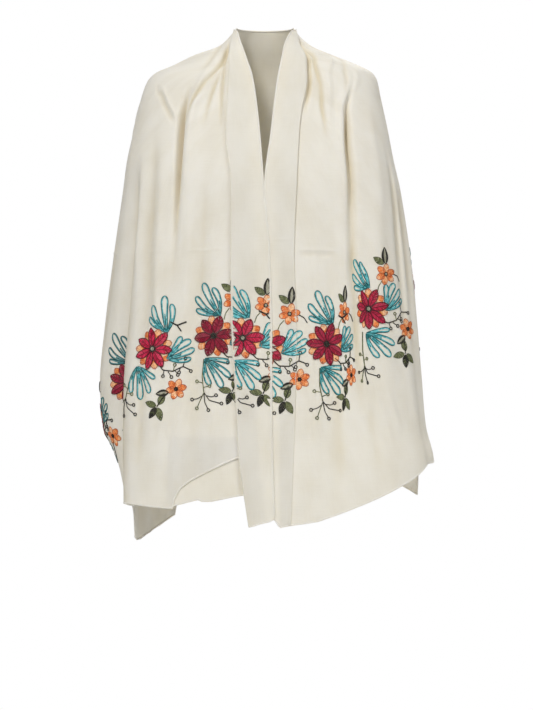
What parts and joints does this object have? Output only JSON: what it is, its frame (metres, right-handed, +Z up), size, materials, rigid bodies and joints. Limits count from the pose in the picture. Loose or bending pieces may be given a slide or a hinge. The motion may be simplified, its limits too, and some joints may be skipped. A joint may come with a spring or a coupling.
{
  "type": "scarf worn open like a cape",
  "caption": "Long cream scarf with an embroidered flower band, worn round the neck and shoulders and hanging open in front.",
  "frame": {"origin": "middle of the base of the neck, level with the shoulders that carry the cloth", "axes": "+Z up, front towards -Y, the wearer's left side at +X"},
  "size_m": [0.6304, 0.3249, 0.9569],
  "materials": {
    "left_front_upper": "matt woven cloth",
    "left_front_middle": "matt woven cloth",
    "left_front_lower": "matt woven cloth",
    "left_arm_upper": "matt woven cloth",
    "left_arm_middle": "matt woven cloth",
    "left_arm_lower": "matt woven cloth",
    "back_upper": "matt woven cloth",
    "back_middle": "matt woven cloth",
    "back_lower": "matt woven cloth",
    "right_arm_upper": "matt woven cloth",
    "right_arm_middle": "matt woven cloth",
    "right_arm_lower": "matt woven cloth",
    "right_front_upper": "matt woven cloth",
    "right_front_middle": "matt woven cloth",
    "right_front_lower": "matt woven cloth",
    "left_front_margin": "matt woven cloth",
    "right_front_margin": "matt woven cloth",
    "left_under_layer": "matt woven cloth"
  },
  "bodies": {
    "root": {"left_front_upper": "left_front_upper", "left_front_middle": "left_front_middle", "left_front_lower": "left_front_lower", "left_arm_upper": "left_arm_upper", "left_arm_middle": "left_arm_middle", "left_arm_lower": "left_arm_lower", "back_upper": "back_upper", "back_middle": "back_middle", "back_lower": "back_lower", "right_arm_upper": "right_arm_upper", "right_arm_middle": "right_arm_middle", "right_arm_lower": "right_arm_lower", "right_front_upper": "right_front_upper", "right_front_middle": "right_front_middle", "right_front_lower": "right_front_lower", "left_front_margin": "left_front_margin", "right_front_margin": "right_front_margin", "left_under_layer": "left_under_layer"}
  },
  "joints": []
}
